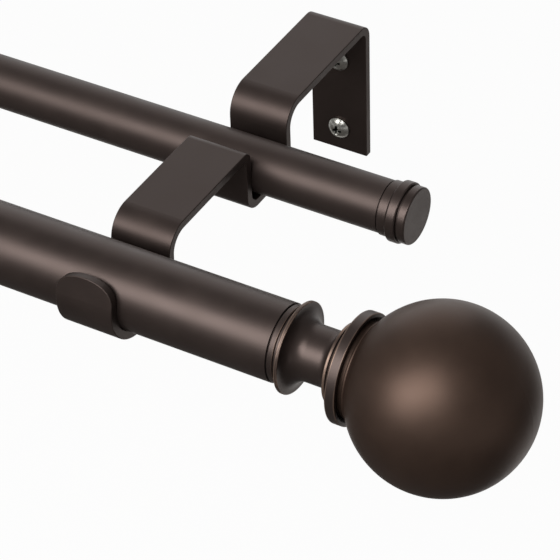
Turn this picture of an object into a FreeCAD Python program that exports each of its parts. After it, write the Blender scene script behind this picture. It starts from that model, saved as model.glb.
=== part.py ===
"""Double curtain pole: two telescopic steel tubes carried in two folded strip brackets.

Millimetres. +X runs along the poles towards the ends of their outer tubes, the wall is the
plane Y = 0 with the room on the -Y side, and +Z is up. The origin is the centre of the four
wall screws, in the wall's plane. The poles are drawn out part of the way, as they hang.
"""

import FreeCAD, Part
import math
import os

from FreeCAD import Vector

# Poles
closed_length = 711.2
drawn_out = 127.0
full_travel = 508.0
least_overlap = 76.2
closed_mouth_gap = 2.0
front_tube_diameter = 25.0
rear_tube_diameter = 17.5
tube_wall = 0.5
tube_running_clearance = 0.1
finial_overhang = 61.0
cap_overhang = 55.2
mouth_edge_radius = 0.15

# Bracket strip
strip_width = 21.3
strip_thickness = 2.9
plate_height = 54.4
strip_edge_round = 0.3
wall_bend_radius = 2.4
rear_arm_reach = 57.0
arm_bend_radius = 6.3
rear_hook_depth = 22.55
rear_hook_slack = 4.9
rear_hook_corner_radius = 3.5
sharp_bend_radius = 0.6
front_arm_drop = 1.0
front_arm_length = 49.8
front_hook_straight = 0.35
front_hook_slack = 3.9
front_hook_ease = 0.1
tube_seat_clearance = 0.05
tab_lean = 12.0
tab_height = 23.3
tab_width = 19.9
tab_taper_length = 9.0
tab_taper_setback = 3.0
tab_crown_radius = 16.0
tab_shoulder_radius = 4.0

# Wall screws
lower_screw_height = 9.0
screw_spacing = 28.5
screw_thread_radius = 2.1
screw_neck_radius = 1.9
screw_neck_length = 3.3
screw_length = 16.0
screw_point_length = 4.5
screw_head_radius = 4.0
screw_head_side = 0.8
screw_head_height = 2.7
screw_hole_clearance = 0.35
recess_wing_span = 4.4
recess_wing_width = 0.95
recess_depth = 1.7
recess_core_radius = 1.25

# Ball finial, turned on the pole's axis, with lengths from the end of the tube
stud_radius = 3.0
stud_clearance = 0.2
thread_clearance = 0.05
plug_length = 18.0
stud_in_plug = 14.0
joint_groove_radius = 11.7
joint_groove_width = 0.35
band_radius = 12.3
band_end = 2.2
neck_groove_radius = 11.7
neck_groove_width = 0.6
flange_radius = 14.5
flange_rise = 1.2
flange_rim_width = 1.1
flange_rim_round = 0.3
flange_cove_radius = 5.2
neck_waist_radius = 8.9
ring_cove_radius = 3.3
ring_radius = 12.7
ring_start = 18.9
ring_width = 1.15
ring_round = 0.35
ring_groove_depth = 0.6
ring_groove_width = 0.4
collar_foot_radius = 12.9
collar_radius = 17.5
collar_edge_at = 22.6
collar_edge_round = 0.4
collar_end = 25.8
collar_rim_width = 1.2
ball_seat_radius = 15.2
ball_seat_depth = 2.2
ball_seat_lead = 1.2
ball_foot_clearance = 0.2
ball_radius = 28.8
ball_wall = 1.2
ball_foot_wall = 2.4
ball_bead_radius = 0.6
ball_boss_radius = 6.0
ball_boss_length = 9.0
stud_in_ball = 10.0
ball_centre_at = 51.9

# Rear end cap, turned on the pole's axis, with lengths from the end of the tube
cap_spigot_length = 14.0
cap_joint_radius = 8.3
cap_joint_width = 0.5
cap_band_radius = 9.1
cap_band_end = 3.4
cap_groove_radius = 8.6
cap_groove_width = 0.3
cap_collar_radius = 10.1
cap_collar_end = 7.1
cap_neck_radius = 9.0
cap_neck_width = 0.5
cap_disc_radius = 9.5
cap_end = 10.4
cap_wall = 1.6

edge_round = 0.25

# Sizes closer than this are taken as the same when edges are picked
size_match = 0.0001

# Places worked out from the sizes above
half_length = (closed_length + drawn_out) / 2
open_travel = full_travel - drawn_out
bracket_x = half_length - finial_overhang
plate_bottom = -(lower_screw_height + screw_spacing / 2)
arm_top = plate_bottom + plate_height
front_tube_radius = front_tube_diameter / 2
rear_tube_radius = rear_tube_diameter / 2
rear_hook_room = rear_tube_diameter + rear_hook_slack
rear_hook_front = rear_arm_reach + rear_hook_room
rear_hook_floor = arm_top - rear_hook_depth
front_arm_top = arm_top - front_arm_drop
front_hook_back = rear_hook_front + front_arm_length
front_hook_corner_radius = front_tube_radius + front_hook_ease
front_hook_front = front_hook_back + 2 * front_hook_corner_radius + front_hook_slack
front_hook_floor = front_arm_top - arm_bend_radius - strip_thickness
front_hook_floor -= front_hook_straight + front_hook_corner_radius
front_pole_y = -(front_hook_front - front_hook_corner_radius)
front_pole_z = front_hook_floor + tube_seat_clearance + front_tube_radius
rear_pole_y = -(rear_hook_front - tube_seat_clearance - rear_tube_radius)
rear_pole_z = rear_hook_floor + tube_seat_clearance + rear_tube_radius
tab_top = front_hook_floor + tab_height
taper_start = -(front_hook_back + tab_taper_setback)


def corner_arc(before, corner, after, radius):
    """Return the tangent points and the middle of the arc that rounds a corner."""
    to_before = (before - corner).normalize()
    to_after = (after - corner).normalize()
    half = to_before.getAngle(to_after) / 2
    start = corner + to_before * (radius / math.tan(half))
    end = corner + to_after * (radius / math.tan(half))
    bisector = (to_before + to_after).normalize()
    centre = corner + bisector * (radius / math.sin(half))
    return start, centre - bisector * radius, end


def rounded_edges(corners, closed):
    """Join corners, each a point and its radius, with straight edges and tangent arcs."""
    count = len(corners)
    pieces = []
    for i, (point, radius) in enumerate(corners):
        is_end = not closed and i in (0, count - 1)
        if is_end or radius == 0:
            pieces.append((point, None, point))
            continue
        before = corners[i - 1][0]
        after = corners[(i + 1) % count][0]
        pieces.append(corner_arc(before, point, after, radius))
    edges = []
    for i, (start, middle, end) in enumerate(pieces):
        if middle is not None:
            edges.append(Part.Arc(start, middle, end).toShape())
        if i == count - 1 and not closed:
            break
        following = pieces[(i + 1) % count][0]
        if end.distanceToPoint(following) > 1e-6:
            edges.append(Part.LineSegment(end, following).toShape())
    return edges


def turned(profile):
    """Turn a closed profile of (length, radius, corner radius) about the X axis."""
    corners = [(Vector(length, radius, 0), rounding) for length, radius, rounding in profile]
    face = Part.Face(Part.Wire(rounded_edges(corners, True)))
    return face.revolve(Vector(0, 0, 0), Vector(1, 0, 0), 360)


def rod(radius, start, end):
    """Return a round bar along X."""
    return Part.makeCylinder(radius, end - start, Vector(start, 0, 0), Vector(1, 0, 0))


def on_pole(shape, x, y, z, side):
    """Place a piece made on the X axis on a pole, turned round for the left side."""
    placed = shape.copy()
    if side < 0:
        placed.rotate(Vector(0, 0, 0), Vector(0, 0, 1), 180)
    placed.translate(Vector(side * x, y, z))
    return placed


def tube(outer_radius, length):
    """Return an open tube from the origin along +X, its edges eased."""
    bore_radius = outer_radius - tube_wall
    return turned([
        (0, bore_radius, 0),
        (0, outer_radius, mouth_edge_radius),
        (length, outer_radius, mouth_edge_radius),
        (length, bore_radius, 0),
    ])


def strip_corners():
    """Return the corners of the strip's middle line, from the plate's foot to the tab's end."""
    half = strip_thickness / 2
    rear_back = -(rear_arm_reach - half)
    rear_front = -(rear_hook_front + half)
    front_back = -(front_hook_back - half)
    # The tab's line leans over the pole, tangent to the arc that goes on round it
    lean = math.radians(tab_lean)
    arc_radius = front_hook_corner_radius + half
    arc_y = -(front_hook_front - front_hook_corner_radius)
    lean_corner_y = arc_y - arc_radius * (1 + math.sin(lean)) / math.cos(lean)
    tab_rise = tab_top - (front_hook_floor - half)
    tab_tip_y = lean_corner_y + tab_rise * math.tan(lean)
    line = [
        (-half, plate_bottom, 0),
        (-half, arm_top - half, wall_bend_radius),
        (rear_back, arm_top - half, arm_bend_radius),
        (rear_back, rear_hook_floor - half, rear_hook_corner_radius),
        (rear_front, rear_hook_floor - half, rear_hook_corner_radius),
        (rear_front, front_arm_top - half, sharp_bend_radius),
        (front_back, front_arm_top - half, arm_bend_radius),
        (front_back, front_hook_floor - half, front_hook_corner_radius),
        (lean_corner_y, front_hook_floor - half, front_hook_corner_radius),
        (tab_tip_y, tab_top, 0),
    ]
    return [(Vector(0, y, z), radius) for y, z, radius in line]


def strip_side(side):
    """Return one surface line of the strip, its inner bend radii as given for each corner."""
    corners = strip_corners()
    last = len(corners) - 1
    surface = []
    for i, (point, inner_radius) in enumerate(corners):
        before = (point - corners[max(i - 1, 0)][0]) if i > 0 else corners[1][0] - point
        after = (corners[min(i + 1, last)][0] - point) if i < last else before
        before.normalize()
        after.normalize()
        across = Vector(1, 0, 0).cross(before)
        across_after = Vector(1, 0, 0).cross(after)
        shift = (across + across_after) * (1 / (1 + across.dot(across_after)))
        is_outer = before.cross(after).x * side < 0
        radius = inner_radius + strip_thickness if is_outer else inner_radius
        rounding = radius if 0 < i < last else 0
        surface.append((point + shift * (side * strip_thickness / 2), rounding))
    return surface


def folded_strip():
    """Extrude the folded strip's side view to its width."""
    outline = strip_side(1) + strip_side(-1)[::-1]
    face = Part.Face(Part.Wire(rounded_edges(outline, True)))
    face.translate(Vector(-strip_width / 2, 0, 0))
    return face.extrude(Vector(strip_width, 0, 0))


def mirrored(point):
    """Return a point's image on the strip's other side."""
    return Vector(-point.x, point.y, point.z)


def tab_arch_edges():
    """Return an upright arch's edges, its crown at the origin and its feet on the strip's sides."""
    wide = tab_width / 2
    run = wide - tab_shoulder_radius
    sag = tab_crown_radius - math.sqrt(tab_crown_radius ** 2 - run ** 2)
    crown_end = Vector(run, 0, -sag)
    # Each shoulder's arc leaves the crown along its tangent and ends on the strip's side
    inward = Vector(-run, 0, -(tab_crown_radius - sag)).normalize()
    radius = tab_shoulder_radius / (1 + inward.x)
    centre = crown_end + inward * radius
    start = centre + Vector(radius, 0, 0)
    halfway = (Vector(1, 0, 0) - inward).normalize()
    middle = centre + halfway * radius
    return [
        Part.Arc(start, middle, crown_end).toShape(),
        Part.Arc(crown_end, Vector(0, 0, 0), mirrored(crown_end)).toShape(),
        Part.Arc(mirrored(crown_end), mirrored(middle), mirrored(start)).toShape(),
        Part.LineSegment(mirrored(start), start).toShape(),
    ]


def arch_the_tab(strip):
    """Cut the end of the strip to the tab's arch, square to the leaning tab."""
    depth = 3 * strip_thickness
    edges = tab_arch_edges()
    foot = edges[0].BoundBox.ZMin
    arch = Part.Face(Part.Wire(edges)).extrude(Vector(0, depth, 0))
    corner = Vector(-strip_width, 0, foot)
    waste = Part.makeBox(2 * strip_width, depth, strip_width, corner).cut(arch)
    waste.translate(Vector(0, -depth / 2, 0))
    waste.rotate(Vector(0, 0, 0), Vector(1, 0, 0), -tab_lean)
    waste.translate(strip_corners()[-1][0])
    return strip.cut(waste).removeSplitter().Solids[0]


def narrow_the_hook(strip):
    """Trim both sides of the strip, so that it tapers under the front pole to the tab's width."""
    wide = strip_width / 2
    narrow = tab_width / 2
    end = taper_start - tab_taper_length
    beyond = -2 * front_hook_front
    for side in (-1, 1):
        trim = Part.makePolygon([
            Vector(side * wide, taper_start, 0),
            Vector(side * narrow, end, 0),
            Vector(side * narrow, beyond, 0),
            Vector(side * strip_width, beyond, 0),
            Vector(side * strip_width, taper_start, 0),
            Vector(side * wide, taper_start, 0),
        ])
        trim = Part.Face(trim).extrude(Vector(0, 0, 2 * plate_height))
        strip = strip.cut(trim.translated(Vector(0, 0, -plate_height)))
    return strip.removeSplitter().Solids[0]


def wall_holes():
    """Return the two screw holes' cutters."""
    radius = screw_thread_radius + screw_hole_clearance
    cutters = []
    for side in (-1, 1):
        start = Vector(0, -2 * strip_thickness, side * screw_spacing / 2)
        cutters.append(Part.makeCylinder(radius, 3 * strip_thickness, start, Vector(0, 1, 0)))
    return cutters


def soften(strip):
    """Round the long edges of the strip and the edges of the tab's arch."""
    edges = []
    for edge in strip.Edges:
        box = edge.BoundBox
        is_upright = box.XLength < size_match and box.YLength < size_match
        across_strip = box.XLength > tab_width - size_match
        across_thickness = abs(edge.Length - strip_thickness) < size_match
        at_taper = is_upright and edge.CenterOfMass.y < taper_start + size_match
        if not (across_strip or across_thickness or at_taper):
            edges.append(edge)
    return strip.makeFillet(strip_edge_round, edges)


def bracket():
    """Return one folded bracket, centred on X = 0."""
    strip = soften(narrow_the_hook(arch_the_tab(folded_strip())))
    for cutter in wall_holes():
        strip = strip.cut(cutter)
    return strip


def recess_wing(angle):
    """Return one tapering wing of the cross recess, sunk from the origin along +X."""
    half = recess_wing_span / 2
    tip = recess_core_radius / 2
    lead = screw_head_height
    profile = Part.makePolygon([
        Vector(-lead, -half, 0),
        Vector(-lead, half, 0),
        Vector(0, half, 0),
        Vector(recess_depth, tip, 0),
        Vector(recess_depth, -tip, 0),
        Vector(0, -half, 0),
        Vector(-lead, -half, 0),
    ])
    wing = Part.Face(profile)
    wing.translate(Vector(0, 0, -recess_wing_width / 2))
    wing = wing.extrude(Vector(0, 0, recess_wing_width))
    wing.rotate(Vector(0, 0, 0), Vector(1, 0, 0), angle)
    return wing


def wall_screw():
    """Return one pan head wood screw, its head's seat at the origin and its point on +X."""
    crown = screw_head_height - screw_head_side
    dome_radius = (screw_head_radius ** 2 + crown ** 2) / (2 * crown)
    dome = Part.makeSphere(dome_radius, Vector(dome_radius - screw_head_height, 0, 0))
    head = rod(screw_head_radius, -screw_head_height, 0).common(dome)
    thread_end = screw_length - screw_point_length
    neck = rod(screw_neck_radius, 0, screw_neck_length)
    thread = rod(screw_thread_radius, screw_neck_length, thread_end)
    point = Part.makeCone(
        screw_thread_radius, 0, screw_point_length, Vector(thread_end, 0, 0), Vector(1, 0, 0)
    )
    screw = head.fuse(neck).fuse(thread).fuse(point).removeSplitter()
    core = Part.makeCone(
        recess_core_radius, 0, recess_depth, Vector(-screw_head_height, 0, 0), Vector(1, 0, 0)
    )
    for angle in (0, 90):
        wing = recess_wing(angle)
        wing.translate(Vector(-screw_head_height, 0, 0))
        screw = screw.cut(wing)
    return screw.cut(core)


def placed_screw(side, row):
    """Place a wall screw in its hole, its head on the front of the plate."""
    screw = wall_screw()
    screw.rotate(Vector(0, 0, 0), Vector(0, 0, 1), 90)
    screw.translate(Vector(side * bracket_x, -strip_thickness, row * screw_spacing / 2))
    return screw


def tube_plug(bore_radius):
    """Return the plug pressed into a front tube's end, tapped for the stud."""
    bore = stud_radius + thread_clearance
    return turned([
        (-plug_length, bore, 0),
        (-plug_length, bore_radius, 2 * edge_round),
        (0, bore_radius, 0),
        (0, bore, 0),
    ])


def finial_stud():
    """Return the threaded stud that draws the ball, the neck and the plug together."""
    seat = collar_end - ball_seat_depth
    return turned([
        (-stud_in_plug, 0, 0),
        (-stud_in_plug, stud_radius, 2 * edge_round),
        (seat + stud_in_ball, stud_radius, 2 * edge_round),
        (seat + stud_in_ball, 0, 0),
    ])


def finial_neck():
    """Return the turned neck: band, flange, waist, ring and the collar that seats the ball."""
    bore = stud_radius + stud_clearance
    groove_end = band_end + neck_groove_width
    rim_start = groove_end + flange_rise
    rim_end = rim_start + flange_rim_width
    ring_end = ring_start + ring_width
    collar_start = ring_end + ring_groove_width
    seat = collar_end - ball_seat_depth
    return turned([
        (0, bore, 0),
        (0, joint_groove_radius, 0),
        (joint_groove_width, joint_groove_radius, 0),
        (joint_groove_width, band_radius, edge_round),
        (band_end, band_radius, edge_round),
        (band_end, neck_groove_radius, 0),
        (groove_end, neck_groove_radius, 0),
        (rim_start, flange_radius, flange_rim_round),
        (rim_end, flange_radius, flange_rim_round),
        (rim_end, neck_waist_radius, flange_cove_radius),
        (ring_start, neck_waist_radius, ring_cove_radius),
        (ring_start, ring_radius, ring_round),
        (ring_end, ring_radius, ring_round),
        (ring_end, ring_radius - ring_groove_depth, 0),
        (collar_start, ring_radius - ring_groove_depth, 0),
        (collar_start, collar_foot_radius, 0),
        (collar_edge_at, collar_radius, collar_edge_round),
        (collar_end, collar_radius, edge_round),
        (collar_end, collar_radius - collar_rim_width, 0),
        (collar_end - ball_seat_lead, ball_seat_radius, 0),
        (seat, ball_seat_radius, 0),
        (seat, bore, 0),
    ])


def finial_ball():
    """Return the hollow ball with its foot, bead and tapped boss."""
    seat = collar_end - ball_seat_depth
    foot_radius = ball_seat_radius - ball_foot_clearance
    centre = Vector(ball_centre_at, 0, 0)
    foot_top = ball_centre_at - math.sqrt(ball_radius ** 2 - foot_radius ** 2)
    skin = Part.makeSphere(ball_radius, centre)
    bead = Part.makeTorus(foot_radius, ball_bead_radius, Vector(foot_top, 0, 0), Vector(1, 0, 0))
    body = skin.fuse(rod(foot_radius, seat, foot_top + ball_bead_radius)).fuse(bead)
    before_seat = rod(ball_radius, seat - ball_radius, seat)
    hollow = Part.makeSphere(ball_radius - ball_wall, centre)
    hollow = hollow.cut(rod(ball_radius, seat - ball_radius, seat + ball_foot_wall))
    boss_end = seat + ball_foot_wall + ball_boss_length
    hollow = hollow.cut(rod(ball_boss_radius, seat, boss_end))
    bore = rod(stud_radius + thread_clearance, seat - ball_boss_length, boss_end)
    return body.cut(before_seat).cut(hollow).cut(bore).removeSplitter()


def end_cap(bore_radius):
    """Return the rear pole's one-piece end cap with its hollow spigot."""
    groove_end = cap_band_end + cap_groove_width
    neck_end = cap_collar_end + cap_neck_width
    hollow_radius = bore_radius - cap_wall
    return turned([
        (-cap_spigot_length, hollow_radius, 0),
        (-cap_spigot_length, bore_radius, 2 * edge_round),
        (0, bore_radius, 0),
        (0, cap_joint_radius, 0),
        (cap_joint_width, cap_joint_radius, 0),
        (cap_joint_width, cap_band_radius, edge_round / 2),
        (cap_band_end, cap_band_radius, edge_round / 2),
        (cap_band_end, cap_groove_radius, 0),
        (groove_end, cap_groove_radius, 0),
        (groove_end, cap_collar_radius, 2 * edge_round),
        (cap_collar_end, cap_collar_radius, 2 * edge_round),
        (cap_collar_end, cap_neck_radius, 0),
        (neck_end, cap_neck_radius, 0),
        (neck_end, cap_disc_radius, edge_round),
        (cap_end, cap_disc_radius, 2 * edge_round),
        (cap_end, 0, 0),
        (cap_end - cap_wall, 0, 0),
        (cap_end - cap_wall, hollow_radius, 0),
    ])


def build_brackets():
    """Return both brackets and their four wall screws."""
    nodes = {}
    for side, name in ((1, "right"), (-1, "left")):
        shape = bracket()
        shape.translate(Vector(side * bracket_x, 0, 0))
        nodes[name + "_bracket"] = shape
        nodes[name + "_upper_wall_screw"] = placed_screw(side, 1)
        nodes[name + "_lower_wall_screw"] = placed_screw(side, -1)
    return nodes


def build_tubes():
    """Return the four tubes, the outer ones on the right and the inner ones drawn out left."""
    nodes = {}
    poles = (
        ("front", front_tube_radius, front_pole_y, front_pole_z, half_length),
        ("rear", rear_tube_radius, rear_pole_y, rear_pole_z, bracket_x + cap_overhang),
    )
    for name, radius, y, z, end in poles:
        inner_radius = radius - tube_wall - tube_running_clearance
        bare_length = drawn_out + closed_mouth_gap
        mouth = bare_length - end
        inner_length = bare_length + open_travel + least_overlap
        outer = tube(radius, end - mouth)
        nodes[name + "_outer_tube"] = on_pole(outer, mouth, y, z, 1)
        nodes[name + "_inner_tube"] = on_pole(tube(inner_radius, inner_length), -end, y, z, 1)
    return nodes


def build_finials():
    """Return the two ball finials with what holds them on the front pole."""
    nodes = {}
    outer_bore = front_tube_radius - tube_wall
    inner_bore = outer_bore - tube_running_clearance - tube_wall
    for side, name, bore_radius in ((1, "right", outer_bore), (-1, "left", inner_bore)):
        pieces = {
            "_tube_plug": tube_plug(bore_radius),
            "_finial_stud": finial_stud(),
            "_finial_neck": finial_neck(),
            "_finial_ball": finial_ball(),
        }
        for suffix, shape in pieces.items():
            nodes[name + suffix] = on_pole(shape, half_length, front_pole_y, front_pole_z, side)
    return nodes


def build_caps():
    """Return the two end caps of the rear pole."""
    nodes = {}
    end = bracket_x + cap_overhang
    outer_bore = rear_tube_radius - tube_wall
    inner_bore = outer_bore - tube_running_clearance - tube_wall
    for side, name, bore_radius in ((1, "right", outer_bore), (-1, "left", inner_bore)):
        nodes[name + "_end_cap"] = on_pole(end_cap(bore_radius), end, rear_pole_y, rear_pole_z, side)
    return nodes


def main():
    """Build every piece and write one STEP file for each."""
    os.makedirs("parts", exist_ok=True)
    nodes = {}
    for build in (build_brackets, build_tubes, build_finials, build_caps):
        nodes.update(build())
    for name, shape in nodes.items():
        if len(shape.Solids) != 1 or not shape.isValid():
            print("check", name, len(shape.Solids), shape.isValid())
        shape.exportStep("parts/" + name + ".step")
    print(len(nodes), "pieces")


main()
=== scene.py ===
"""Looks of the double curtain pole: bronze paint, worn rims, zinc screws, studio and camera.

Metres, in the part's own frame: +X along the poles, the wall at Y = 0 with the room on the -Y
side, and +Z up.
"""

import logging
import math
from dataclasses import dataclass
from enum import Enum

import bmesh
import bpy
from mathutils import Matrix, Quaternion, Vector

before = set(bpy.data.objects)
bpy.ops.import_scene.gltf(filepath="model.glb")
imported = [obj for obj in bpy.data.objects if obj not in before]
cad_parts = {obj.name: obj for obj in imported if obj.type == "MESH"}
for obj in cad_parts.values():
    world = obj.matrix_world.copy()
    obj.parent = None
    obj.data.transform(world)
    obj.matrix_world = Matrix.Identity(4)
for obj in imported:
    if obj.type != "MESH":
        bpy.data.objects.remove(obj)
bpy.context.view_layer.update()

MM = 0.001

log = logging.getLogger("curtain_pole")


class Side(Enum):
    """One end of the pole, by the word that its nodes' names begin with."""

    RIGHT = "right"
    LEFT = "left"


class Row(Enum):
    """One row of wall screws, by the word in its nodes' names."""

    UPPER = "upper"
    LOWER = "lower"


def linear(hex_colour: str, alpha: float = 1.0) -> tuple[float, float, float, float]:
    """Turn an sRGB hex colour into linear light.

    Args:
        hex_colour: The colour as "#rrggbb".
        alpha: The fourth value.

    Returns:
        Red, green, blue and alpha, in linear light.
    """
    values = [int(hex_colour[i:i + 2], 16) / 255 for i in (1, 3, 5)]
    red, green, blue = [
        v / 12.92 if v <= 0.04045 else ((v + 0.055) / 1.055) ** 2.4 for v in values
    ]
    return red, green, blue, alpha


def add_node(
    tree: bpy.types.NodeTree,
    kind: str,
    settings: dict | None = None,
    links: dict | None = None,
) -> bpy.types.Node:
    """Add a node with its settings and links.

    Args:
        tree: The node tree that takes the node.
        kind: The node's type name.
        settings: Values by property name, input name or input number.
        links: Output sockets by input name or input number.

    Returns:
        The new node.
    """
    node = tree.nodes.new(kind)
    for key, value in (settings or {}).items():
        if isinstance(key, str) and hasattr(node, key):
            setattr(node, key, value)
        else:
            node.inputs[key].default_value = value
    for key, source in (links or {}).items():
        tree.links.new(source, node.inputs[key])
    return node


def empty_tree(owner: bpy.types.ID) -> bpy.types.NodeTree:
    """Turn a material or a world over to nodes.

    Args:
        owner: The material or the world.

    Returns:
        Its node tree, with no node in it.
    """
    owner.use_nodes = True
    owner.node_tree.nodes.clear()
    return owner.node_tree


def per_metre(size_mm: float) -> float:
    """Give a noise texture's scale for a pattern of this size on Object coordinates."""
    return 1 / (size_mm * MM)


@dataclass(frozen=True)
class WornRim:
    """A turned edge whose paint is rubbed thin.

    The first length is measured from the end of the pole and the second from its axis, in
    millimetres.
    """

    along_mm: float
    radius_mm: float
    width_mm: float


@dataclass(frozen=True)
class BronzePaint:
    """Antique bronze paint: a dark brown metallic lacquer, sprayed and baked on steel."""

    name: str = "antique_bronze_spray_lacquer"
    colour: str = "#3a312e"
    thin_colour: str = "#433935"
    roughness_low: float = 0.36
    roughness_high: float = 0.44
    metallic: float = 0.8
    mottle_mm: float = 11.0
    mottle_detail: float = 3.0
    mottle_low: float = 0.3
    mottle_high: float = 0.7
    grain_mm: float = 0.7
    grain_detail: float = 2.0
    grain_height_mm: float = 0.012
    peel_strength: float = 0.25

    def material(self) -> bpy.types.Material:
        """Make the paint's material.

        Returns:
            The new material.
        """
        made = bpy.data.materials.new(self.name)
        self.shade(empty_tree(made))
        return made

    def shade(self, tree: bpy.types.NodeTree) -> bpy.types.Node:
        """Add the paint's shader and its patterns.

        Args:
            tree: The material's empty node tree.

        Returns:
            The Principled shader.
        """
        place = add_node(tree, "ShaderNodeTexCoord")
        # Lacquer flows a little before it is baked, so colour and gloss drift over a centimetre
        mottle = add_node(
            tree,
            "ShaderNodeTexNoise",
            {"Scale": per_metre(self.mottle_mm), "Detail": self.mottle_detail},
            {"Vector": place.outputs["Object"]},
        )
        colour = add_node(
            tree,
            "ShaderNodeMix",
            {"data_type": "RGBA", 6: linear(self.colour), 7: linear(self.thin_colour)},
            {0: mottle.outputs["Fac"]},
        )
        gloss = add_node(
            tree,
            "ShaderNodeMapRange",
            {"From Min": self.mottle_low, "From Max": self.mottle_high,
             "To Min": self.roughness_low, "To Max": self.roughness_high},
            {"Value": mottle.outputs["Fac"]},
        )
        # Spray droplets leave a faint orange peel, which breaks up the edge of each highlight
        grain = add_node(
            tree,
            "ShaderNodeTexNoise",
            {"Scale": per_metre(self.grain_mm), "Detail": self.grain_detail},
            {"Vector": place.outputs["Object"]},
        )
        peel = add_node(
            tree,
            "ShaderNodeBump",
            {"Strength": self.peel_strength, "Distance": self.grain_height_mm * MM},
            {"Height": grain.outputs["Fac"]},
        )
        shader = add_node(
            tree,
            "ShaderNodeBsdfPrincipled",
            {"Metallic": self.metallic},
            {"Base Color": colour.outputs[2], "Roughness": gloss.outputs["Result"],
             "Normal": peel.outputs["Normal"]},
        )
        add_node(tree, "ShaderNodeOutputMaterial", links={"Surface": shader.outputs["BSDF"]})
        return shader


@dataclass(frozen=True)
class RubbedBronzePaint(BronzePaint):
    """The same paint on a turned piece, rubbed thin on its rims so that copper shows."""

    name: str = "rubbed_bronze_spray_lacquer"
    copper: str = "#7f6a5d"
    pole_end_mm: float = 419.1
    axis_y_mm: float = -145.7
    axis_z_mm: float = 20.55
    rims: tuple[WornRim, ...] = ()
    bare_share: float = 0.2
    patch_mm: float = 6.0
    patch_detail: float = 2.0
    patch_low: float = 0.35
    patch_high: float = 0.6
    wear_low: float = 0.25
    wear_high: float = 0.85

    def shade(self, tree: bpy.types.NodeTree) -> bpy.types.Node:
        """Add the paint, then the copper on the rims.

        Args:
            tree: The material's empty node tree.

        Returns:
            The Principled shader.
        """
        shader = super().shade(tree)
        painted = shader.inputs["Base Color"].links[0].from_socket
        rubbed = add_node(
            tree,
            "ShaderNodeMix",
            {"data_type": "RGBA", 7: linear(self.copper)},
            {0: self.worn(tree), 6: painted},
        )
        tree.links.new(rubbed.outputs[2], shader.inputs["Base Color"])
        return shader

    def worn(self, tree: bpy.types.NodeTree) -> bpy.types.NodeSocket:
        """Find how far the paint is worn through at each point.

        Args:
            tree: The material's node tree.

        Returns:
            A socket that is near 1 on a worn rim and 0 away from the rims.
        """
        place = add_node(tree, "ShaderNodeTexCoord")
        section = self.section(tree, place.outputs["Object"])
        nearest = None
        for rim in self.rims:
            near = self.near(tree, section, rim)
            if nearest is None:
                nearest = near
                continue
            nearest = add_node(
                tree, "ShaderNodeMath", {"operation": "MAXIMUM"}, {0: nearest, 1: near}
            ).outputs[0]
        # Hands rub unevenly, so the copper comes and goes round each rim
        patchy = add_node(
            tree,
            "ShaderNodeTexNoise",
            {"Scale": per_metre(self.patch_mm), "Detail": self.patch_detail},
            {"Vector": place.outputs["Object"]},
        )
        strength = add_node(
            tree,
            "ShaderNodeMapRange",
            {"From Min": self.patch_low, "From Max": self.patch_high,
             "To Min": self.wear_low, "To Max": self.wear_high},
            {"Value": patchy.outputs["Fac"]},
        )
        return add_node(
            tree,
            "ShaderNodeMath",
            {"operation": "MULTIPLY"},
            {0: nearest, 1: strength.outputs["Result"]},
        ).outputs[0]

    def section(
        self, tree: bpy.types.NodeTree, place: bpy.types.NodeSocket
    ) -> bpy.types.NodeSocket:
        """Turn each point's place into its place on the turned profile.

        Args:
            tree: The material's node tree.
            place: The point's place in the part's frame.

        Returns:
            A socket with the length past the pole's end as X and the radius as Y.
        """
        split = add_node(tree, "ShaderNodeSeparateXYZ", links={0: place})
        out = add_node(
            tree, "ShaderNodeMath", {"operation": "ABSOLUTE"}, {0: split.outputs["X"]}
        )
        along = add_node(
            tree,
            "ShaderNodeMath",
            {"operation": "SUBTRACT", 1: self.pole_end_mm * MM},
            {0: out.outputs[0]},
        )
        across = add_node(
            tree,
            "ShaderNodeCombineXYZ",
            links={"Y": split.outputs["Y"], "Z": split.outputs["Z"]},
        )
        radius = add_node(
            tree,
            "ShaderNodeVectorMath",
            {"operation": "DISTANCE", 1: (0.0, self.axis_y_mm * MM, self.axis_z_mm * MM)},
            {0: across.outputs[0]},
        )
        return add_node(
            tree,
            "ShaderNodeCombineXYZ",
            links={"X": along.outputs[0], "Y": radius.outputs["Value"]},
        ).outputs[0]

    def near(
        self, tree: bpy.types.NodeTree, section: bpy.types.NodeSocket, rim: WornRim
    ) -> bpy.types.NodeSocket:
        """Find how near each point is to one rim.

        Args:
            tree: The material's node tree.
            section: The point's place on the turned profile.
            rim: The rim.

        Returns:
            A socket that is 1 on the rim and falls to 0 at the rim's width from it.
        """
        distance = add_node(
            tree,
            "ShaderNodeVectorMath",
            {"operation": "DISTANCE", 1: (rim.along_mm * MM, rim.radius_mm * MM, 0.0)},
            {0: section},
        )
        return add_node(
            tree,
            "ShaderNodeMapRange",
            {"interpolation_type": "SMOOTHSTEP",
             "From Min": self.bare_share * rim.width_mm * MM, "From Max": rim.width_mm * MM,
             "To Min": 1.0, "To Max": 0.0},
            {"Value": distance.outputs["Value"]},
        ).outputs["Result"]


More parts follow.
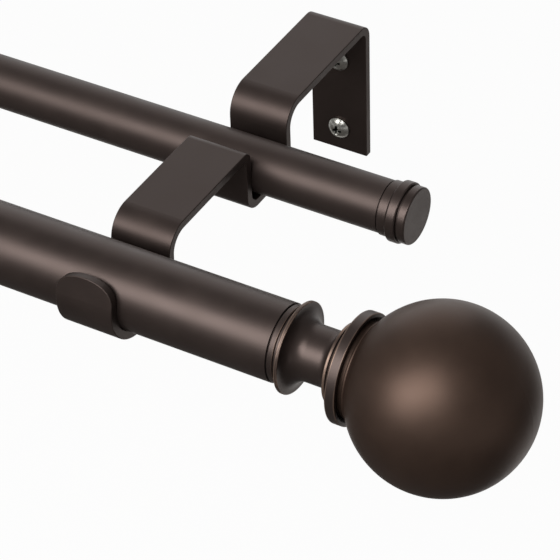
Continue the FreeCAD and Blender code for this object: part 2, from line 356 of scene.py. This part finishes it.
@dataclass(frozen=True)
class ZincPlate:
    """Bright zinc electroplate on a cold headed or rolled steel piece, with painted shade in
    the screws' cross recesses.
    """

    name: str = "bright_zinc_electroplate"
    bright: str = "#c9c8c2"
    dull: str = "#96958f"
    # Painted shade: the dark colour painted inside the cross recess
    recess_shade_colour: str = "#4b4a47"
    roughness_low: float = 0.2
    roughness_high: float = 0.38
    cloud_mm: float = 1.6
    cloud_detail: float = 3.0
    nick_mm: float = 0.35
    nick_detail: float = 1.0
    nick_depth_mm: float = 0.01
    nick_strength: float = 0.3
    screw_x_mm: float = 358.1
    screw_z_mm: float = 14.25
    dome_centre_y_mm: float = -0.44
    dome_radius_mm: float = 5.16
    dome_foot_y_mm: float = -3.75
    # Depths below the dome where the painted shade starts and where it is full
    shade_start_depth_mm: float = 0.1
    full_shade_depth_mm: float = 0.5

    def material(self) -> bpy.types.Material:
        """Make the plating's material.

        Returns:
            The new material.
        """
        made = bpy.data.materials.new(self.name)
        tree = empty_tree(made)
        place = add_node(tree, "ShaderNodeTexCoord")
        # Plating clouds where the pieces tumbled together, so they look slightly patchy
        cloud = add_node(
            tree,
            "ShaderNodeTexNoise",
            {"Scale": per_metre(self.cloud_mm), "Detail": self.cloud_detail},
            {"Vector": place.outputs["Object"]},
        )
        plated = add_node(
            tree,
            "ShaderNodeMix",
            {"data_type": "RGBA", 6: linear(self.dull), 7: linear(self.bright)},
            {0: cloud.outputs["Fac"]},
        )
        gloss = add_node(
            tree,
            "ShaderNodeMapRange",
            {"To Min": self.roughness_low, "To Max": self.roughness_high},
            {"Value": cloud.outputs["Fac"]},
        )
        # Painted shade: the colour is darkened inside the cross recess, standing in for the
        # shade there
        colour = add_node(
            tree,
            "ShaderNodeMix",
            {"data_type": "RGBA", 7: linear(self.recess_shade_colour)},
            {0: self.painted_recess_shade(tree, place.outputs["Object"]), 6: plated.outputs[2]},
        )
        # Small nicks from the tumbling make the highlights sparkle
        nicks = add_node(
            tree,
            "ShaderNodeTexNoise",
            {"Scale": per_metre(self.nick_mm), "Detail": self.nick_detail},
            {"Vector": place.outputs["Object"]},
        )
        bump = add_node(
            tree,
            "ShaderNodeBump",
            {"Strength": self.nick_strength, "Distance": self.nick_depth_mm * MM},
            {"Height": nicks.outputs["Fac"]},
        )
        shader = add_node(
            tree,
            "ShaderNodeBsdfPrincipled",
            {"Metallic": 1.0},
            {"Base Color": colour.outputs[2], "Roughness": gloss.outputs["Result"],
             "Normal": bump.outputs["Normal"]},
        )
        add_node(tree, "ShaderNodeOutputMaterial", links={"Surface": shader.outputs["BSDF"]})
        return made

    def painted_recess_shade(
        self, tree: bpy.types.NodeTree, place: bpy.types.NodeSocket
    ) -> bpy.types.NodeSocket:
        """Find how far each point is sunk below the dome of its screw head, for the painted
        shade.

        Args:
            tree: The material's node tree.
            place: The point's place in the part's frame.

        Returns:
            A socket that is 1 deep in a cross recess, where the shade is painted, and 0
            everywhere else.
        """
        split = add_node(tree, "ShaderNodeSeparateXYZ", links={0: place})
        out = add_node(
            tree, "ShaderNodeMath", {"operation": "ABSOLUTE"}, {0: split.outputs["X"]}
        )
        up = add_node(
            tree, "ShaderNodeMath", {"operation": "ABSOLUTE"}, {0: split.outputs["Z"]}
        )
        folded = add_node(
            tree,
            "ShaderNodeCombineXYZ",
            links={"X": out.outputs[0], "Y": split.outputs["Y"], "Z": up.outputs[0]},
        )
        centre = (self.screw_x_mm * MM, self.dome_centre_y_mm * MM, self.screw_z_mm * MM)
        reach = add_node(
            tree,
            "ShaderNodeVectorMath",
            {"operation": "DISTANCE", 1: centre},
            {0: folded.outputs[0]},
        )
        depth = add_node(
            tree,
            "ShaderNodeMapRange",
            {"From Min": (self.dome_radius_mm - self.shade_start_depth_mm) * MM,
             "From Max": (self.dome_radius_mm - self.full_shade_depth_mm) * MM},
            {"Value": reach.outputs["Value"]},
        )
        in_dome = add_node(
            tree,
            "ShaderNodeMath",
            {"operation": "LESS_THAN", 1: self.dome_foot_y_mm * MM},
            {0: split.outputs["Y"]},
        )
        return add_node(
            tree,
            "ShaderNodeMath",
            {"operation": "MULTIPLY"},
            {0: depth.outputs["Result"], 1: in_dome.outputs[0]},
        ).outputs[0]


@dataclass(frozen=True)
class MouldedPlastic:
    """Black polypropylene, injection moulded with a finely sparked surface."""

    name: str = "black_moulded_polypropylene"
    colour: str = "#1c1b1a"
    pale: str = "#252423"
    roughness: float = 0.55
    ior: float = 1.49
    spark_mm: float = 0.4
    spark_detail: float = 2.0
    spark_depth_mm: float = 0.02
    spark_strength: float = 0.3

    def material(self) -> bpy.types.Material:
        """Make the plastic's material.

        Returns:
            The new material.
        """
        made = bpy.data.materials.new(self.name)
        tree = empty_tree(made)
        place = add_node(tree, "ShaderNodeTexCoord")
        # The mould is spark eroded, so the plastic comes out finely pitted and looks matt
        spark = add_node(
            tree,
            "ShaderNodeTexNoise",
            {"Scale": per_metre(self.spark_mm), "Detail": self.spark_detail},
            {"Vector": place.outputs["Object"]},
        )
        colour = add_node(
            tree,
            "ShaderNodeMix",
            {"data_type": "RGBA", 6: linear(self.colour), 7: linear(self.pale)},
            {0: spark.outputs["Fac"]},
        )
        bump = add_node(
            tree,
            "ShaderNodeBump",
            {"Strength": self.spark_strength, "Distance": self.spark_depth_mm * MM},
            {"Height": spark.outputs["Fac"]},
        )
        shader = add_node(
            tree,
            "ShaderNodeBsdfPrincipled",
            {"Roughness": self.roughness, "IOR": self.ior},
            {"Base Color": colour.outputs[2], "Normal": bump.outputs["Normal"]},
        )
        add_node(tree, "ShaderNodeOutputMaterial", links={"Surface": shader.outputs["BSDF"]})
        return made


def dress(node_name: str, material: bpy.types.Material) -> None:
    """Give a CAD node its material.

    Args:
        node_name: The node's name in the frame.
        material: The finish it takes.
    """
    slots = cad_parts[node_name].data.materials
    slots.clear()
    slots.append(material)
    log.info("%s: %s", node_name, material.name)


@dataclass
class Poles:
    """The four tubes and the rear pole's end caps."""

    front_tubes: tuple[str, ...] = ("front_outer_tube", "front_inner_tube")
    rear_tubes: tuple[str, ...] = ("rear_outer_tube", "rear_inner_tube")
    caps: tuple[str, ...] = ("right_end_cap", "left_end_cap")
    front_paint: BronzePaint = BronzePaint(name="antique_bronze_on_tube")
    rear_paint: BronzePaint = BronzePaint(
        name="antique_bronze_on_thin_tube", roughness_low=0.43, roughness_high=0.5
    )
    cap_paint: BronzePaint = BronzePaint(name="antique_bronze_on_cap")

    def build(self) -> None:
        """Dress the tubes and the caps."""
        groups = (
            (self.front_tubes, self.front_paint),
            (self.rear_tubes, self.rear_paint),
            (self.caps, self.cap_paint),
        )
        for names, paint in groups:
            material = paint.material()
            for name in names:
                dress(name, material)


@dataclass
class WallBrackets:
    """The two folded strip brackets and their wall screws."""

    paint: BronzePaint = BronzePaint(
        name="antique_bronze_on_strip",
        colour="#372e2b",
        thin_colour="#403632",
        roughness_low=0.41,
        roughness_high=0.49,
        mottle_mm=14.0,
    )
    plating: ZincPlate = ZincPlate()

    def build(self) -> None:
        """Dress both brackets and all four screws."""
        strip = self.paint.material()
        screw = self.plating.material()
        for side in Side:
            dress(f"{side.value}_bracket", strip)
            for row in Row:
                dress(f"{side.value}_{row.value}_wall_screw", screw)


@dataclass
class BallFinials:
    """The turned neck and ball at each end of the front pole, with their stud and plug."""

    neck_paint: RubbedBronzePaint = RubbedBronzePaint(
        name="rubbed_bronze_on_neck",
        rims=(
            WornRim(along_mm=2.2, radius_mm=12.3, width_mm=0.3),
            WornRim(along_mm=4.1, radius_mm=14.5, width_mm=0.6),
            WornRim(along_mm=5.0, radius_mm=14.4, width_mm=0.4),
            WornRim(along_mm=19.5, radius_mm=12.7, width_mm=0.6),
            WornRim(along_mm=22.7, radius_mm=17.5, width_mm=0.4),
            WornRim(along_mm=25.8, radius_mm=17.5, width_mm=0.4),
        ),
    )
    ball_paint: BronzePaint = BronzePaint(
        name="antique_bronze_on_ball",
        colour="#3d2f28",
        thin_colour="#47372e",
        roughness_low=0.43,
        roughness_high=0.49,
    )
    stud_plating: ZincPlate = ZincPlate(name="zinc_plated_rolled_stud")
    plug_plastic: MouldedPlastic = MouldedPlastic()

    def build(self) -> None:
        """Dress both finials."""
        neck = self.neck_paint.material()
        ball = self.ball_paint.material()
        stud = self.stud_plating.material()
        plug = self.plug_plastic.material()
        for side in Side:
            dress(f"{side.value}_finial_neck", neck)
            dress(f"{side.value}_finial_ball", ball)
            dress(f"{side.value}_finial_stud", stud)
            dress(f"{side.value}_tube_plug", plug)


@dataclass(frozen=True)
class Softbox:
    """One oblong softbox, placed by the direction it shines from. Lengths in metres."""

    name: str
    toward: tuple[float, float, float]
    distance: float
    width: float
    height: float
    watts: float
    roll_deg: float = 0.0


@dataclass(frozen=True)
class Flag:
    """One square felt flag lying above the floor, placed by its middle. Lengths in metres."""

    name: str
    middle: tuple[float, float]
    side: float
    colour: str


@dataclass
class Studio:
    """Pale floor, felt flags, soft lamps and camera. Lengths in metres."""

    aim: tuple[float, float, float] = (0.348039, -0.029807, -0.067335)
    azimuth_deg: float = 31.096
    elevation_deg: float = 39.49
    roll_deg: float = -2.034
    distance: float = 0.957292
    lens_mm: float = 173.768
    sensor_mm: float = 36.0
    floor_drop: float = 0.45
    floor_side: float = 30.0
    floor_paint: str = "#f4f3f1"
    floor_white: str = "#fdfdfd"
    floor_white_share: float = 0.96
    flag_drop: float = 0.3
    flags: tuple[Flag, ...] = (
        Flag("front_flag", middle=(0.0, -1.5), side=3.0, colour="#5c5957"),
        Flag("side_flag", middle=(1.95, 1.15), side=2.3, colour="#5c5957"),
        Flag("back_flag", middle=(0.4, 0.4), side=0.8, colour="#e9e6e3"),
    )
    room_colour: str = "#f6f5f4"
    room_strength: float = 0.35
    lamps: tuple[Softbox, ...] = (
        Softbox(
            "key_softbox",
            toward=(-0.12, -0.74, 0.65),
            distance=1.6,
            width=1.6,
            height=0.92,
            watts=37.0,
            roll_deg=38.0,
        ),
        Softbox(
            "back_softbox",
            toward=(-0.49, 0.75, 0.44),
            distance=1.8,
            width=1.7,
            height=1.7,
            watts=10.0,
        ),
    )

    def build(self) -> None:
        """Make the floor, the flags, the room's light, the lamps and the camera."""
        floor = self.lay_sheet("studio_floor", (0.0, 0.0), self.floor_drop, self.floor_side)
        floor.data.materials.append(self.floor_material())
        for flag in self.flags:
            self.add_flag(flag)
        self.light_room()
        for lamp in self.lamps:
            self.add_lamp(lamp)
        self.add_camera()

    def lay_sheet(
        self, name: str, middle: tuple[float, float], drop: float, side: float
    ) -> bpy.types.Object:
        """Lay one flat square sheet below the object.

        Args:
            name: The sheet's name.
            middle: X and Y of its middle.
            drop: How far it lies below the frame's origin.
            side: Its side.

        Returns:
            The sheet, as a part of the stage.
        """
        mesh = bpy.data.meshes.new(name)
        sheet = bpy.data.objects.new(name, mesh)
        bpy.context.scene.collection.objects.link(sheet)
        shape = bmesh.new()
        place = Matrix.Translation((*middle, -drop))
        bmesh.ops.create_grid(shape, x_segments=1, y_segments=1, size=side / 2, matrix=place)
        shape.to_mesh(mesh)
        shape.free()
        return sheet

    def add_flag(self, flag: Flag) -> None:
        """Lay a felt flag that keeps the floor's light off the undersides.

        It stands only in reflections, so the floor keeps its look and the object's shadow.

        Args:
            flag: The flag's name, middle, side and colour.
        """
        sheet = self.lay_sheet(flag.name, flag.middle, self.flag_drop, flag.side)
        sheet.data.materials.append(self.felt_material(flag))
        sheet.visible_camera = False
        sheet.visible_diffuse = False
        sheet.visible_shadow = False
        sheet.visible_transmission = False

    def felt_material(self, flag: Flag) -> bpy.types.Material:
        """Make woven felt, matt all over, which gives back less light than the floor.

        Args:
            flag: The flag, with its colour.

        Returns:
            The flag's material.
        """
        made = bpy.data.materials.new(f"woven_felt_{flag.name}")
        tree = empty_tree(made)
        cloth = add_node(tree, "ShaderNodeBsdfDiffuse", {"Color": linear(flag.colour)})
        add_node(tree, "ShaderNodeOutputMaterial", links={"Surface": cloth.outputs[0]})
        return made

    def floor_material(self) -> bpy.types.Material:
        """Make matt white painted board that reads as plain white and keeps a soft shadow.

        Returns:
            The floor's material.
        """
        made = bpy.data.materials.new("matt_white_painted_board")
        tree = empty_tree(made)
        ray = add_node(tree, "ShaderNodeLightPath")
        mirrored = add_node(
            tree,
            "ShaderNodeMath",
            {"operation": "MAXIMUM"},
            {0: ray.outputs["Is Glossy Ray"], 1: ray.outputs["Is Transmission Ray"]},
        )
        seen = add_node(
            tree,
            "ShaderNodeMath",
            {"operation": "MAXIMUM"},
            {0: ray.outputs["Is Camera Ray"], 1: mirrored.outputs[0]},
        )
        share = add_node(
            tree,
            "ShaderNodeMath",
            {"operation": "MULTIPLY", 1: self.floor_white_share},
            {0: seen.outputs[0]},
        )
        board = add_node(tree, "ShaderNodeBsdfDiffuse", {"Color": linear(self.floor_paint)})
        white = add_node(
            tree, "ShaderNodeEmission", {"Color": linear(self.floor_white), "Strength": 1.0}
        )
        mixed = add_node(
            tree,
            "ShaderNodeMixShader",
            links={0: share.outputs[0], 1: board.outputs[0], 2: white.outputs[0]},
        )
        add_node(tree, "ShaderNodeOutputMaterial", links={"Surface": mixed.outputs[0]})
        return made

    def light_room(self) -> None:
        """Light the room with plain grey-white light."""
        world = bpy.data.worlds.new("studio_room")
        bpy.context.scene.world = world
        tree = empty_tree(world)
        light = add_node(
            tree,
            "ShaderNodeBackground",
            {"Color": linear(self.room_colour), "Strength": self.room_strength},
        )
        add_node(tree, "ShaderNodeOutputWorld", links={"Surface": light.outputs[0]})

    def add_lamp(self, lamp: Softbox) -> None:
        """Hang one softbox.

        Args:
            lamp: The softbox's name, place, size, power and roll.
        """
        data = bpy.data.lights.new(lamp.name, "AREA")
        data.shape = "RECTANGLE"
        data.size = lamp.width
        data.size_y = lamp.height
        data.energy = lamp.watts
        toward = Vector(lamp.toward).normalized()
        roll = Quaternion((0, 0, 1), math.radians(lamp.roll_deg))
        light = bpy.data.objects.new(lamp.name, data)
        light.location = Vector(self.aim) + toward * lamp.distance
        light.rotation_euler = (toward.to_track_quat("Z", "Y") @ roll).to_euler()
        bpy.context.scene.collection.objects.link(light)

    def add_camera(self) -> None:
        """Set the camera that sees the right end of the pole from above and in front."""
        azimuth = math.radians(self.azimuth_deg)
        elevation = math.radians(self.elevation_deg)
        roll = math.radians(self.roll_deg)
        back = Vector((
            math.sin(azimuth) * math.cos(elevation),
            -math.cos(azimuth) * math.cos(elevation),
            math.sin(elevation),
        ))
        right = Vector((math.cos(azimuth), math.sin(azimuth), 0))
        up = back.cross(right)
        turned_right = right * math.cos(roll) + up * math.sin(roll)
        turned_up = up * math.cos(roll) - right * math.sin(roll)
        data = bpy.data.cameras.new("studio_camera")
        data.sensor_width = self.sensor_mm
        data.lens = self.lens_mm
        camera = bpy.data.objects.new("studio_camera", data)
        turn = Matrix((turned_right, turned_up, back)).transposed().to_4x4()
        camera.matrix_world = Matrix.Translation(Vector(self.aim) + back * self.distance) @ turn
        bpy.context.scene.collection.objects.link(camera)
        bpy.context.scene.camera = camera


def main() -> None:
    """Dress the object and set the studio."""
    logging.basicConfig(level=logging.INFO, format="%(message)s")
    bpy.context.scene.view_settings.view_transform = "Standard"
    for assembly in (Poles(), WallBrackets(), BallFinials(), Studio()):
        log.info("building %s", type(assembly).__name__)
        assembly.build()


if __name__ == "__main__":
    main()
